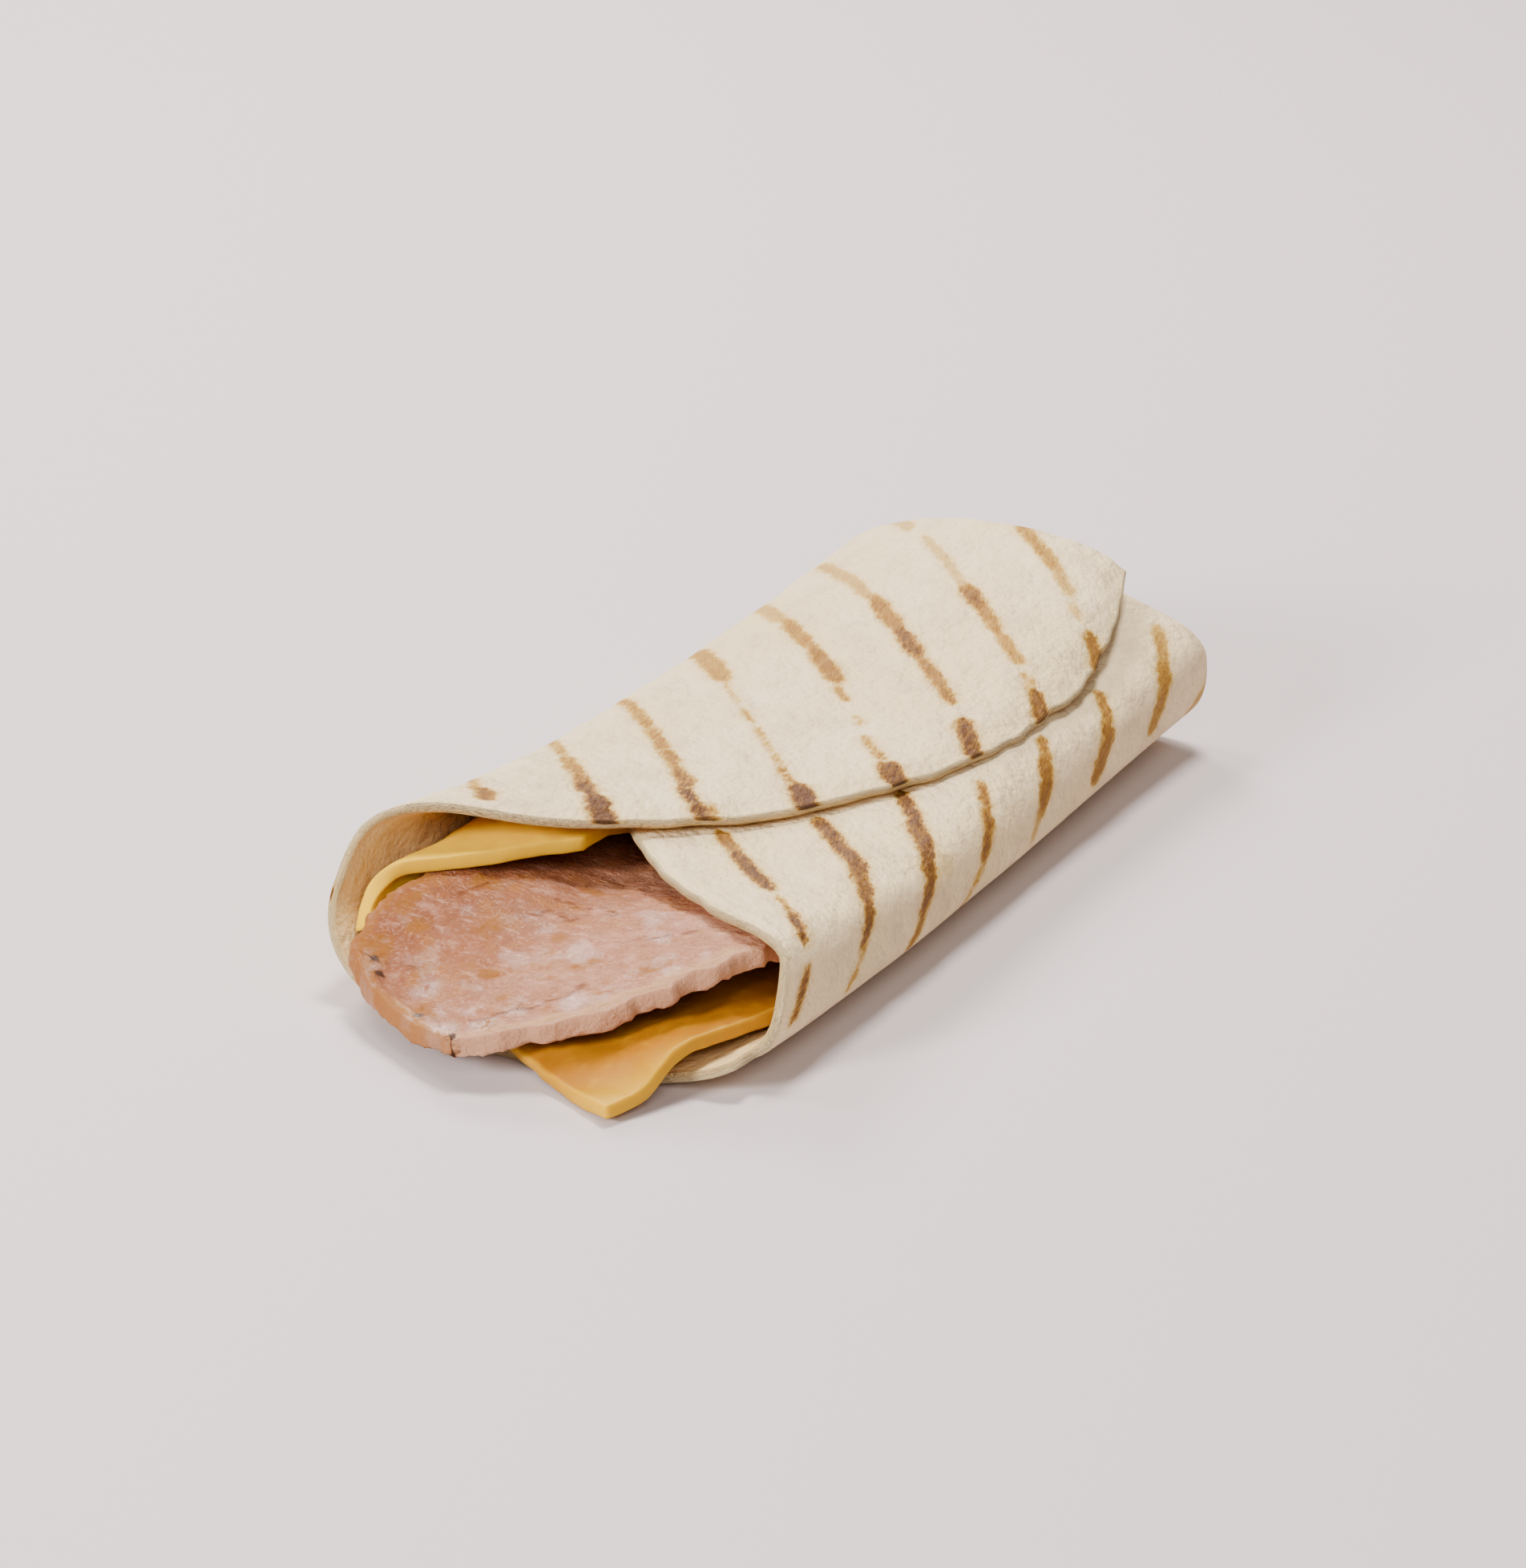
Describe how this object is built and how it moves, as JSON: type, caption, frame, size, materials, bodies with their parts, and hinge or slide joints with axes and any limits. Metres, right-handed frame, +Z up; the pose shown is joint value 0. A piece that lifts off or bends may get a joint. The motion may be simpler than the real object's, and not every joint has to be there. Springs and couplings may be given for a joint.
{
  "type": "breakfast wrap",
  "caption": "Grilled flour tortilla rolled round a slice of back bacon and slices of cheese, open at one end and folded in at the other.",
  "frame": {"origin": "middle of the wrap's footprint, on the table it lies on", "axes": "+Z up, -Y towards the open end with the filling showing, +Y towards the folded end, +X to the side where the right flap goes under the left one"},
  "size_m": [0.0832, 0.1888, 0.0352],
  "materials": {
    "tortilla": "matte baked flour tortilla with brown grill marks",
    "bacon": "moist cooked back bacon",
    "cheese": "satin sliced cheese"
  },
  "bodies": {
    "root": {"tortilla": "tortilla", "bacon": "bacon", "lower_cheese": "cheese", "upper_cheese": "cheese"}
  },
  "joints": []
}
